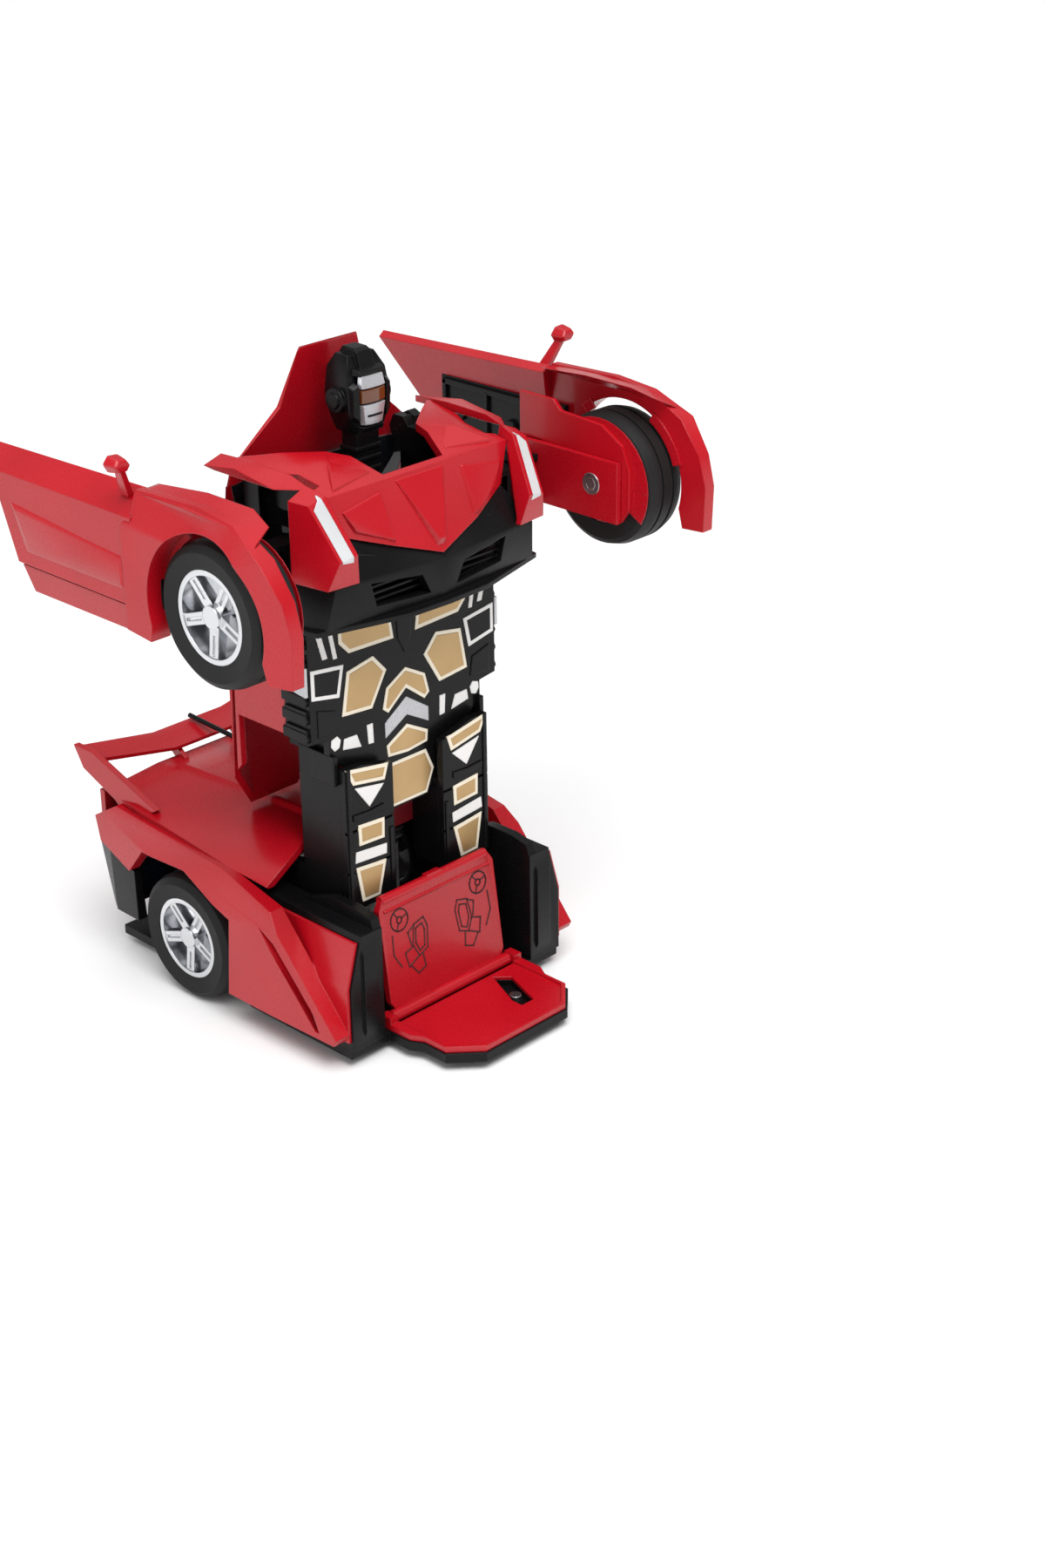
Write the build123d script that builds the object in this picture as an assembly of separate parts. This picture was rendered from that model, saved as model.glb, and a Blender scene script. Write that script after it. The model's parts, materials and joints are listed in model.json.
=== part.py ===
from build123d import *
from math import cos, pi, sin
import os

"""Toy car that unfolds into a standing robot.

Every piece is drawn where it sits in the car: x forward from the rear axle, y left, z up from the
ground, in millimetres. place() then moves each body to the standing robot, which is the rest pose.
"""

# Driving dimensions
WHEELBASE = 150.0
WHEEL_RADIUS = 20.0
WHEEL_INNER = 33.4
WHEEL_OUTER = 49.0
RIM_RADIUS = 12.8
AXLE_RADIUS = 1.5
PIN_RADIUS = 1.2
RUNNING_GAP = 0.05
SPOKES = 5

EAR_RADIUS = 3.6
HIP_X, HIP_Z = 17.5, 42.5
SHOULDER_X, SHOULDER_Z = 142.5, 37.5
SEAT_HINGE_X, SEAT_HINGE_Z = 64.0, 8.0
SEAT_TURN = 98.0
LINK_LENGTH = 33.0
LINK_X, LINK_Y = 157.0, 26.0
LINK_Z = (12.0, 22.0)
LINK_HALF = 3.5

REAR_END = -56.0
TRAY_FRONT = 96.0
CENTRE_X = (REAR_END + TRAY_FRONT) / 2

FLOOR_Z = (3.0, 6.0)
TORSO_HALF = 36.5
PLATE_Z = 11.6
LEG_Z = 7.4
SKIN = 2.2

DRIVE_MODULE, AXLE_TEETH, PINION_TEETH = 0.8, 20, 10
HIP_MODULE, HIP_TEETH, HIP_PINION_TEETH = 1.0, 16, 10
DRIVE_OFFSET = DRIVE_MODULE * (AXLE_TEETH + PINION_TEETH) / 2
HIP_OFFSET = HIP_MODULE * (HIP_TEETH + HIP_PINION_TEETH) / 2

nodes = {}


# Shapes
def along_x(outline, x0, x1):
    """Prism with a (y, z) outline."""
    face = Face(Wire.make_polygon([(x0, y, z) for y, z in outline], close=True))
    return extrude(face, amount=x1 - x0, dir=(1, 0, 0))


def along_y(outline, y0, y1):
    """Prism with an (x, z) outline."""
    face = Face(Wire.make_polygon([(x, y0, z) for x, z in outline], close=True))
    return extrude(face, amount=y1 - y0, dir=(0, 1, 0))


def along_z(outline, z0, z1):
    """Prism with an (x, y) outline."""
    face = Face(Wire.make_polygon([(x, y, z0) for x, y in outline], close=True))
    return extrude(face, amount=z1 - z0, dir=(0, 0, 1))


def block(x, y, z):
    """Box between two corners, each axis given as (low, high)."""
    size = [high - low for low, high in (x, y, z)]
    middle = [(low + high) / 2 for low, high in (x, y, z)]
    return Pos(*middle) * Box(*size)


def rod(centre, y0, y1, radius):
    """Cylinder along y at the (x, z) centre."""
    return Pos(centre[0], (y0 + y1) / 2, centre[1]) * Rot(90, 0, 0) * Cylinder(radius, abs(y1 - y0))


def post(centre, z0, z1, radius):
    """Cylinder along z at the (x, y) centre."""
    return Pos(centre[0], centre[1], (z0 + z1) / 2) * Cylinder(radius, z1 - z0)


def hull(points):
    """Solid with flat faces around a set of points."""
    return ConvexPolyhedron(points)


def wide(points):
    """The points and their mirror images across the middle."""
    return points + [(x, -y, z) for x, y, z in points if y]


def across(outline):
    """Close a half outline of (x, y) points with its mirror image."""
    return outline + [(x, -y) for x, y in reversed(outline) if y]


def skin(points, drop=(0, 0, -SKIN)):
    """Open shell: a faceted body less the same body moved inwards."""
    body = hull(points)
    return body - Pos(*drop) * body


def sided(shape, side):
    """The left-hand shape, or its mirror image on the right."""
    return shape if side > 0 else mirror(shape, about=Plane.XZ)


def both(shape):
    """A left-hand shape fused with its mirror image."""
    return shape + mirror(shape, about=Plane.XZ)


def gear(centre, y0, y1, module, teeth, bore, phase=0.0):
    """Spur gear along y, its teeth thinner than the gaps so that it runs freely."""
    pitch = module * teeth / 2
    step = 2 * pi / teeth
    flank = [(-0.25, -1.25), (-0.2, 0.0), (-0.09, 0.9), (0.09, 0.9), (0.2, 0.0), (0.25, -1.25)]
    rim = []
    for tooth in range(teeth):
        for turn, rise in flank:
            angle = phase + (tooth + turn) * step
            radius = pitch + rise * module
            rim.append((centre[0] + radius * cos(angle), centre[1] + radius * sin(angle)))
    return along_y(rim, y0, y1) - rod(centre, y0 - 1, y1 + 1, bore)


# Bodies, from the car to the standing robot
def place(body, shape):
    """Move a piece from its place in the car to its place in the standing robot."""
    side = -1 if body.endswith("right") else 1
    chest = Pos(HIP_X + HIP_Z - SHOULDER_Z - SHOULDER_X, 0, HIP_Z - HIP_X + SHOULDER_X - SHOULDER_Z)
    centred = Pos(-CENTRE_X, 0, 0)
    if body in ("torso", "head"):
        turn = Pos(HIP_X, 0, HIP_Z) * Rot(0, -90, 0) * Pos(-HIP_X, 0, -HIP_Z)
        return centred * turn * shape
    if body == "chest":
        return centred * chest * shape
    if body.startswith("link"):
        pivot = Pos(LINK_X, side * LINK_Y, 0)
        swing = pivot * Rot(0, 0, -90 * side) * Pos(-LINK_X, -side * LINK_Y, 0)
        return centred * chest * swing * shape
    if body.startswith(("arm", "wheel_front")):
        return centred * chest * Pos(LINK_LENGTH, side * LINK_LENGTH, 0) * shape
    if body == "seat":
        turn = Pos(SEAT_HINGE_X, 0, SEAT_HINGE_Z) * Rot(0, -SEAT_TURN, 0) * Pos(-SEAT_HINGE_X, 0,
                                                                                -SEAT_HINGE_Z)
        return centred * turn * shape
    return centred * shape


def pair(shape):
    """A left-hand shape and its mirror image, as two solids."""
    return [shape, mirror(shape, about=Plane.XZ)]


def add(node, body, *shapes):
    """Keep a finished piece under its node's name."""
    placed = [place(body, shape) for shape in shapes]
    nodes[node] = placed[0] if len(placed) == 1 else Compound(children=placed)


# Wheels
def tyre():
    """Tyre about the origin, its axis along y and its outer side at y = 0."""
    width = WHEEL_OUTER - WHEEL_INNER
    section = [(RIM_RADIUS + 0.02, -0.8), (WHEEL_RADIUS - 2.6, -0.1), (WHEEL_RADIUS - 0.7, -1.6),
               (WHEEL_RADIUS, -4.0), (WHEEL_RADIUS, 4.0 - width), (WHEEL_RADIUS - 0.9, 1.0 - width),
               (WHEEL_RADIUS - 2.4, -width), (RIM_RADIUS + 0.02, 0.4 - width)]
    face = Face(Wire.make_polygon([(r, y, 0) for r, y in section], close=True))
    body = revolve(face, Axis.Y)
    for groove in (-0.36, -0.64):
        y = groove * width
        cut = rod((0, 0), y - 0.5, y + 0.5, WHEEL_RADIUS + 1) - rod((0, 0), y - 1, y + 1, WHEEL_RADIUS - 0.7)
        body -= cut
    return body


def rim(bore, blind):
    """Five-spoke rim about the origin, its outer side at y = 0."""
    width = WHEEL_OUTER - WHEEL_INNER
    barrel = rod((0, 0), -1.0, 0.6 - width, RIM_RADIUS) - rod((0, 0), 0, -width, RIM_RADIUS - 1.6)
    hub = rod((0, 0), -1.2, 1.0 - width, 3.2)
    web = rod((0, 0), -7.5, -9.0, RIM_RADIUS - 0.8)
    body = barrel + hub + web
    for spoke in range(SPOKES):
        arm = along_z([(2.0, -2.4), (RIM_RADIUS - 1.0, -1.3), (RIM_RADIUS - 1.0, -4.0), (2.0, -5.6)], -1.7,
                      1.7)
        arm -= along_z([(5.0, 0.0), (RIM_RADIUS - 2.2, 0.0), (RIM_RADIUS - 2.2, -2.1), (5.0, -2.8)], -0.5,
                       0.5)
        body += Rot(0, 360 / SPOKES * spoke + 90, 0) * arm
    return body - rod((0, 0), -blind, -width, bore)


def wheel(name, body, centre_x, side, bore, blind):
    """A rim and a tyre on one axle."""
    outer = Pos(centre_x, WHEEL_OUTER, WHEEL_RADIUS)
    add(f"{name}_rim", body, sided(outer * rim(bore, blind), side))
    add(f"{name}_tyre", body, sided(outer * tyre(), side))


# Base: the rear of the car, which carries the standing robot
def chassis():
    """Floor plate, tray, skids and the two blocks that hold the hip."""
    floor = along_z(across([(-42, 40), (-24, 40), (-24, 29.5), (22, 29.5), (22, 43), (67, 43),
                            (67, 28), (75, 28), (79, 25.8), (88, 25.8), (TRAY_FRONT, 17)]),
                    *FLOOR_Z)
    slot = along_z([(68, 14), (72, 18), (86, 13), (86, 8), (82, 8)], 2, 12)
    floor -= block((-8.6, 0.6), (-3.3, 3.3), (2, 7))
    screws = [(-34, 32), (-34, -32), (34, 34), (34, -34), (62, 20), (62, -20)]
    for x, y in screws:
        floor -= post((x, y), 2, 7, 1.15)
        floor -= post((x, y), 2, 4.6, 2.1)
    skids = both(post((84, 14), 0, FLOOR_Z[0], 3.5))
    add("chassis_floor", "base", floor + skids - slot)
    add("chassis_screws", "base", *[post((x, y), 3.2, 4.5, 2.0) + post((x, y), 4.4, 5.9, 1.05)
                                    for x, y in screws])
    tray = along_z(across([(66.5, 27.4), (75, 27.4), (79, 25.2), (87.5, 25.2), (95.5, 16.6)]), FLOOR_Z[1],
                   7.9)
    tray -= along_z(across([(60, 24.2), (86.6, 24.2), (94.0, 16.2)]), 7.1, 10)
    tray += both(block((62.4, 67), (24.4, 27.4), (FLOOR_Z[1], 9.8)))
    hinge = (SEAT_HINGE_X, SEAT_HINGE_Z)
    tray -= rod(hinge, -30, 30, 0.76) + slot
    add("seat_tray", "base", tray)
    add("seat_pin", "base", rod(hinge, -27.2, 27.2, 0.75))
    cheek = along_y([(24, 6), (68, 6), (68, 42), (24, 42)], 30.5, 43) - block((26, 66), (32.5, 44), (8, 40))
    cheek &= along_x([(30.5, 6), (43, 6), (43, 26), (38.6, 42), (30.5, 42)], 20, 70)
    tower = along_y([(24, 41), (68, 41), (66.5, 45), (60, 46.4), (50, 46.4), (38, 42)], 30.5, 33.5)
    boss = rod((HIP_X, HIP_Z), 30.5, 35.0, 5.0) + block((HIP_X, 25), (30.5, 33.5), (38, 46.5))
    rib = along_y([(67.9, 9), (68.8, 11), (68.8, 36), (67.9, 38)], 33, 38.5)
    cheek = cheek + tower + boss + rib - rod((HIP_X, HIP_Z), 29, 34.0, 2.0 + RUNNING_GAP)
    add("inner_fenders", "base", *pair(cheek))


def rear_body():
    """Red rear quarters and deck, with the bumper, lamps, spoiler and antenna."""
    quarter = along_y([(66.5, 10), (67.5, 12), (40, 43.5), (17, 49), (-34, 52), (-44, 46), (-42, 38),
                       (-27, 33), (-19, 42.5), (1, 43.2), (23.2, 35.5), (21, 10)], 43.4, 50)
    quarter &= along_x([(43.4, 5), (50, 5), (50, 38), (44.6, 54), (43.4, 54)], -60, 80)
    quarter &= along_z([(70, 43), (70, 49.2), (40, 50), (5, 50), (-45, 46), (-45, 43)], 0, 60)
    scoop = hull([(38, 46, 38), (62, 46.5, 12), (60, 51, 12), (56, 51, 21), (44, 51, 34), (36, 51, 38.5),
                  (57, 46.5, 12)])
    deck = skin(wide([(31, 26, 55.5), (36, 40.5, 44.5), (17, 44.4, 49), (-27, 44.4, 54), (-45, 41, 52.5),
                      (-45, 20, 54.5), (-20, 43.5, 50), (31, 0, 55.5)]), (0, 0, -2.6))
    deck &= block((-46, 31), (-46, 46), (30, 60))
    spine = both(hull([(30, 9, 55), (30, 15, 55), (-40, 14, 54), (-40, 18, 54), (26, 11, 56.6),
                       (26, 13, 56.6), (-36, 15.5, 55.8), (-36, 16.5, 55.8)]))
    tail = block((-46, -43.8), (-42, 42), (38, 52.8))
    liner = along_x([(43.03, 9), (44.1, 9), (44.1, 26.2), (40.2, 40), (39.25, 40), (43.03, 26.2)], 24, 67.2)
    body = deck + both(quarter - scoop + liner) + tail + spine
    body -= both(block((-47, -45), (18, 38), (42, 49)))
    add("rear_body_shell", "base", body)
    lamp = along_x([(18.3, 42.5), (37.6, 44.5), (37.6, 48.5), (18.3, 47)], -46.4, -45.05)
    add("tail_lights", "base", lamp, mirror(lamp, about=Plane.XZ))
    bumper = hull(wide([(-46.5, 43, 36), (-39, 45, 37.5), (-39, 44, 14), (-43, 42, 14), (-47.5, 20, 35),
                        (-45, 18, 13), (-39, 20, 13)]))
    bumper += both(hull([(-39.5, 41, 37), (-39.5, 45, 37), (-27, 43, 32), (-27, 45.6, 32), (-27, 45.4, 15),
                         (-27, 42, 15), (-39.5, 44, 14), (-39.5, 41, 14)]))
    bumper -= block((-50, -43), (-24, 24), (23, 32))
    for z in (24, 26, 28, 30):
        bumper += block((-45.4, -42.9), (-24.1, 24.1), (z, z + 0.9))
    add("rear_bumper", "base", bumper - body)
    middle = hull(wide([(-54.5, 14, 58.6), (-54.5, 14, 60), (-43, 14, 57.4), (-43, 14, 58.4),
                        (-50, 14, 60.2)]))
    tip = hull([(-54.5, 14, 58.6), (-54.5, 14, 60), (-43, 14, 57.4), (-43, 14, 58.4), (-50, 14, 60.2),
                (REAR_END, 41.2, 62.4), (REAR_END, 41.2, 64.2), (-46, 41.2, 61.6), (-46, 41.2, 62.8)])
    stay = hull([(-45, 11, 53.6), (-39, 11, 53.6), (-45, 12.5, 53.6), (-39, 12.5, 53.6),
                 (-52, 11, 59), (-46, 11, 58.4), (-52, 12.5, 59), (-46, 12.5, 58.4)])
    plate = along_y([(REAR_END, 65.2), (-47, 65.2), (-17, 55), (-31, 47.5), (-37, 52.4), (-52, 58.5)],
                    41.2, 43.2)
    add("spoiler_wing", "base", middle + both(tip + stay + plate) - body)
    stem = Pos(-13, 0, 60.1) * Rot(0, 92.6, 0) * Cylinder(0.8, 80)
    foot = post((27, 0), 55.5, 59.2, 2.0)
    add("antenna", "base", stem + foot)


def rear_drive():
    """Battery, board, switch, and a motor and gears for each rear wheel."""
    add("battery_pack", "base", *[rod((-30, z), -22, 22, 6.5) for z in (16, 29.5)])
    add("battery_cover", "base", block((-40, -20), (-25, 25), (6.0, 8.0)))
    add("circuit_board", "base", block((-40, -12), (-24, 24), (37.5, 39.1)))
    add("power_switch", "switch", block((-8, -4), (-3, 3), (3.6, 6.4)) + block((-10, -2), (-5, 5), (6.3, 8)))
    axle_at = (0, WHEEL_RADIUS)
    motor_at = (-DRIVE_OFFSET, WHEEL_RADIUS)
    frame = block((-20, 11), (18.8, 20.8), (6, 33)) + block((-20, 11), (27.5, 29.5), (6, 33))
    frame += block((-20, -18.2), (20.7, 27.6), (6, 33))
    frame -= rod(axle_at, 15, 31, AXLE_RADIUS + RUNNING_GAP)
    frame -= rod(motor_at, 15, 31, 1.0 + RUNNING_GAP)
    add("gearbox_frames", "base", *pair(frame))
    can = rod(motor_at, 2, 18.6, 7.0) & block((-30, 5), (0, 30), (14.5, 25.5))
    add("drive_motors", "base", *pair(can - rod(motor_at, 14, 19, 1.0 + RUNNING_GAP)))
    for name, side in (("left", 1), ("right", -1)):
        pinion = gear(motor_at, 21.4, 26.4, DRIVE_MODULE, PINION_TEETH, 0.3, pi / PINION_TEETH)
        pinion += rod(motor_at, 15, 29, 1.0)
        add(f"motor_pinion_{name}", f"pinion_{name}", sided(pinion, side))
        spin = f"wheel_rear_{name}"
        axle = rod(axle_at, 18.2, WHEEL_OUTER - 3, AXLE_RADIUS)
        axle += gear(axle_at, 22, 25.8, DRIVE_MODULE, AXLE_TEETH, AXLE_RADIUS - 0.5)
        add(f"rear_axle_{name}", spin, sided(axle, side))
        wheel(f"rear_{name}", spin, 0, side, AXLE_RADIUS + 0.01, 2.8)


def hip_drive():
    """Motor and gears that stand the robot up."""
    motor_at = (HIP_X - HIP_OFFSET, HIP_Z)
    can = rod(motor_at, -14, 12.6, 6.0) - rod(motor_at, 8, 13, 1.0 + RUNNING_GAP)
    add("hip_motor", "base", can)
    pinion = gear(motor_at, 13.4, 18.4, HIP_MODULE, HIP_PINION_TEETH, 0.3, pi / HIP_PINION_TEETH)
    add("hip_pinion", "hip_pinion", pinion + rod(motor_at, 9, 19, 1.0))
    hip_gear = gear((HIP_X, HIP_Z), 14, 17.8, HIP_MODULE, HIP_TEETH, 1.5)
    add("hip_shaft", "torso", hip_gear + rod((HIP_X, HIP_Z), -33.8, 33.8, 2.0))


def seat():
    """Folding seat back, drawn flat on the tray as it lies in the car."""
    back = along_z(across([(64, 21), (68, 23.5), (97, 23.5), (100.2, 21.5)]), 8.2, 10.4)
    back += Pos(99.4, 0, 9.6) * Rot(90, 0, 0) * Cylinder(1.6, 43)
    back += both(block((63, 66), (8, 19), (7.0, 9.5)))
    add("seat_back", "seat", back - rod((SEAT_HINGE_X, SEAT_HINGE_Z), -24, 24, 0.8))


# Torso: the underside, cabin and roof of the car
def torso():
    """Front plate, legs, inner frame, sides, cabin and glass."""
    front = along_z(across([(112, TORSO_HALF), (69.8, TORSO_HALF), (69, 30), (64, 30), (46, 12),
                            (39.5, 7.5)]),
                    PLATE_Z, PLATE_Z + 2.4)
    front += both(block((70, 112), (34, TORSO_HALF), (PLATE_Z, 22)))
    for rib in range(7):
        x = 72 + rib * 5.6
        front += both(block((x, x + 2.2), (TORSO_HALF - 0.2, TORSO_HALF + 0.7), (PLATE_Z + 1, 21.6)))
    add("torso_front_plate", "torso", front)
    leg = along_z([(15, 10), (15, 28.5), (60.2, 28.5), (60.2, 22), (57, 10)], LEG_Z, LEG_Z + 2.4)
    for x in (27, 40):
        leg -= block((x, x + 0.8), (9, 30), (LEG_Z - 1, LEG_Z + 0.8))
    add("leg_covers", "torso", *pair(leg))
    arm = along_y([(71, 31), (112, 31), (118, 34.5), (SHOULDER_X + 3, 34.6), (SHOULDER_X + 4.2, SHOULDER_Z),
                   (SHOULDER_X + 2.6, 40.6), (SHOULDER_X - 2.6, 41), (71, 41)], 28.3, 31.4)
    pin = rod((SHOULDER_X, SHOULDER_Z), 24.6, 30, PIN_RADIUS)
    add("shoulder_arms", "torso", *pair(arm + pin))
    wall = along_y([(70, 22.2), (112, 22.2), (112, 43.2), (52, 44.8), (54, 43), (70, 43)], 34.4, TORSO_HALF)
    wall += along_y([(72, 40), (110, 40), (106, 42), (74, 42)], 31.5, 34.5)
    add("torso_sides", "torso", *pair(wall))
    upright = along_y([(15, LEG_Z + 2.4), (58.6, LEG_Z + 2.4), (58.6, 15), (63, 15), (63, 27),
                       (24, 27), (23.5, HIP_Z), (HIP_X, HIP_Z + 6),
                       (HIP_X - 6, HIP_Z), (HIP_X - 4, HIP_Z - 5), (15, 34)], 25, 28.3)
    upright -= rod((HIP_X, HIP_Z), 20, 30, 2.01)
    inner = along_y([(15, LEG_Z + 2.4), (43, LEG_Z + 2.4), (43, 15), (63, 15), (63, 21), (15, 21)], 10, 12)
    deck = block((52, 106), (-28.2, 28.2), (24, 26)) + block((104, 107), (-33.9, 33.9), (14.2, 40))
    deck += both(block((62, 104), (26, 28.2), (15.0, 31)))
    deck += block((62, 66), (-12, 12), (15.0, 25))
    deck -= block((70, 120), (-5.5, 5.5), (22, 31.5))
    deck += both(upright + inner)
    deck -= both(block((100, 110), (28.2, 31.6), (29, 42)))
    add("torso_frame", "torso", deck)

    cabin = skin(wide([(32, 22, 57.6), (60, 24.5, 59), (92, 24, 59.2), (97, 0, 60), (48, 35.6, 47.6),
                       (110, 36.4, 46.6), (138, 35.4, 43.8), (143, 0, 43.6), (60, 0, 60), (32, 0, 58.6)]))
    cabin &= block((32, 145), (-40, 40), (43.3, 62))
    screen_area = along_z(across([(97, 0), (93, 24.2), (137.5, 33.4), (142.2, 0)]), 40, 70)
    window_area = along_y([(64, 50), (60, 57.4), (70, 58.3), (88, 57.2), (112, 51.5), (118, 48.2),
                           (100, 48)], 20, 50)
    quarter_area = along_y([(119.5, 48.2), (116, 51), (128, 46.6)], 20, 50)
    windows = cabin & (window_area + quarter_area)
    screen = (cabin & screen_area) - both(window_area + quarter_area)
    cowl = skin(wide([(137, 35.2, 44), (142.2, 33.6, 43.8), (157, 16.2, 42.6), (173.4, 10.6, 38.8),
                      (141, 0, 44.3), (164, 0, 42.2)]), (0, 0, -1.9))
    cowl &= along_z(across([(136, 35.4), (142.4, 33.9), (156.8, 16.5), (173.5, 10.8)]), 30, 50)
    roof = cabin - screen_area - both(window_area + quarter_area)
    scoop = hull([(34, 9, 57), (34, 21, 57), (58, 10, 58), (58, 20, 58), (36, 10, 59.8), (36, 20, 59.3),
                  (54, 11, 61.2), (54, 19, 60.8)])
    scoop -= Pos(0, 0, -2) * scoop
    roof += both(scoop - (hull(wide([(32, 22, 57.4), (60, 24.4, 58.9), (92, 24, 59), (60, 0, 59.8),
                                     (32, 0, 58.4),
                                     (32, 0, 50), (92, 0, 50)]))))
    roof -= block((31, 37), (-3.5, 3.5), (50, 65))
    roof_top = roof.solids().sort_by(SortBy.VOLUME)[-1]
    add("roof_panel", "torso", roof_top + (cowl - screen - cabin))
    add("windscreen", "torso", screen.solids().sort_by(SortBy.VOLUME)[-1])
    add("side_windows", "torso", *[half for pane in windows.solids() for half in pair(pane)])


def head():
    """Head and neck, drawn standing up as in the robot, less the turn of the torso."""
    low, high = 147.0, 173.0
    front, back = 20.0, 34.0
    shell = hull(wide([(low + 3, 5.5, front + 2), (low + 3, 5.5, back - 2), (low + 8, 8, front + 3),
                       (low + 8, 8, back - 2), (high - 5, 8, front + 3), (high - 5, 7.4, back - 1),
                       (high, 5, front + 4), (high, 5, back - 3), (low + 5, 4.4, front + 0.6),
                       (high - 6, 4.4, front + 0.6)]))
    shell -= block((low + 5.5, low + 19.5), (-5, 5), (front - 1, front + 3))
    cap = hull(wide([(high - 4, 4.2, front + 3), (high + 0.8, 2.6, front + 5), (high + 0.8, 2.6, back - 6),
                     (high - 3, 4.2, back - 2.5)]))
    ears = both(rod((low + 13, 27), 7, 9.4, EAR_RADIUS))
    neck = block((low - 33, low + 4), (-4.5, 4.5), (23.5, 30))
    shell = shell + cap + ears + neck
    add("head_shell", "head", shell)
    face = block((low + 5.6, low + 19.4), (-4.9, 4.9), (front + 1.6, front + 2.95))
    face += hull(wide([(low + 6, 3.6, front + 1.6), (low + 6, 3.0, front + 0.5),
                       (low + 11.4, 4.4, front + 1.6), (low + 11.4, 3.8, front + 0.3)]))
    face += hull(wide([(low + 16.4, 4.4, front + 1.6), (low + 16.4, 4.0, front + 0.5),
                       (low + 19.2, 3.8, front + 1.6), (low + 19.2, 3.4, front + 0.9)]))
    face -= block((low + 8.2, low + 9.0), (-2.4, 2.4), (front - 1, front + 1.1))
    add("face_plate", "head", face - shell)
    add("eye_lens", "head", block((low + 12.2, low + 15.6), (-4.4, 4.4), (front + 0.7, front + 1.58)))


# Chest: the nose of the car
def chest():
    """Hood, lamp strips, lamps, bumper, grille and frame."""
    strip = hull([(137, 36.9, 41.3), (137, 43.3, 41.3), (137, 36.9, 43.2), (166, 36.9, 41.3),
                  (166, 43.3, 40.9),
                  (166, 36.9, 43.4), (150, 43.3, 43.2), (150, 36.9, 43.8), (173, 36.9, 41.4),
     (173, 43.3, 38)])
    strip &= block((137, 173), (36, 44), (40.9, 45))
    corner = hull([(171.5, 31, 16), (171.5, 43.3, 16), (171.5, 36.9, 41.8), (171.5, 43.3, 39),
                   (178, 35.5, 40),
                   (177.5, 41.5, 38.5), (187, 33, 25), (186.5, 39, 24), (185, 31, 16), (184, 41.5, 16)])
    corner -= hull([(168, 30, 13), (168, 41.8, 13), (168, 36, 39), (168, 41.6, 37), (175.5, 35, 37.4),
                    (184, 33, 23), (182.5, 39.4, 21), (182.8, 30, 13), (181.5, 39.6, 13)])
    lens_area = along_x([(34.0, 23), (38.0, 23.5), (40.4, 37.2), (37.2, 40.5)], 176, 190)
    body = strip + corner
    lens = (body & lens_area).solids().sort_by(SortBy.VOLUME)[-1]
    nose = hull(wide([(143, 36.6, 43.2), (150, 30, 43.8), (157, 17, 42.9), (174, 11, 38.8), (176, 35, 38.4),
                      (178, 30.5, 27), (183, 16, 22), (185.6, 0, 16.5), (165, 24, 43.2)]))
    opening = along_z(across([(140, 35.9), (143.4, 35.2), (157.6, 17.2), (174.2, 11.4)]), 10, 60)
    hood = nose - Pos(-2.2, 0, -2.2) * nose - opening - block((130, 167), (-13, 13), (0, 60))
    hood -= both(body + block((140, 171), (31.5, 44), (0, 41.4)))
    bumper = hull(wide([(171.6, 43, 8), (172, 43, 3.6), (181, 40, 3.2), (184.4, 16, 2.6), (185.6, 0, 2.6),
                        (186.2, 0, 15), (178, 31, 26), (172, 31, 26), (183, 38, 15), (172, 42, 15.8)]))
    bumper -= Pos(-3.2, 0, 1.8) * bumper
    bumper &= block((171.6, 190), (-44, 44), (0, 30))
    intake = both(along_x([(5, 6), (24, 7), (26, 14), (8, 12)], 176, 192))
    hood_edge = nose - Pos(-2.3, 0, -2.3) * nose
    bumper = bumper - both(corner) - hood_edge - intake
    bumper = bumper.solids().sort_by(SortBy.VOLUME)[-1]
    add("hood_panel", "chest", hood.solids().sort_by(SortBy.VOLUME)[-1])
    add("lamp_strips", "chest", *pair(body - lens_area))
    add("headlights", "chest", *pair(lens))
    lip = along_z(across([(172.2, 44), (180, 42.6), (187.4, 15), (188, 0)]), 2.0, 3.4)
    lip -= along_z(across([(170, 38), (178, 36), (182, 12), (182.4, 0)]), 1, 4)
    bumper += lip
    for z in (7.5, 9.5, 11.5):
        bumper += block((179.5, 182), (-27.5, 27.5), (z, z + 0.8))
    add("front_bumper", "chest", bumper)

    frame = block((168, 171.4), (-30, 30), (9.8, 33))
    rail = block((149, 168.2), (14.5, 21), (9.7, 24.3))
    ears = block((152.6, 162), (20.8, 29.8), (22.3, 24.3)) + block((152.6, 162), (20.8, 29.8), (9.7, 11.7))
    web = along_y([(139.5, 34.6), (144, 31), (150, 28), (168.2, 28), (168.2, 37), (156, 38.5), (146.5, 38.5),
                   (144.6, 41), (140.4, 41), (138.7, 37.5)], 24.6, 27.9)
    web -= rod((SHOULDER_X, SHOULDER_Z), 20, 30, PIN_RADIUS + RUNNING_GAP)
    frame += both(rail + ears + web)
    frame += both(block((156, 168.2), (15, 27.9), (24.2, 28.4)))
    frame += both(post((LINK_X, LINK_Y), 9.7, 24.3, PIN_RADIUS))
    add("chest_frame", "chest", frame)


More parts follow.
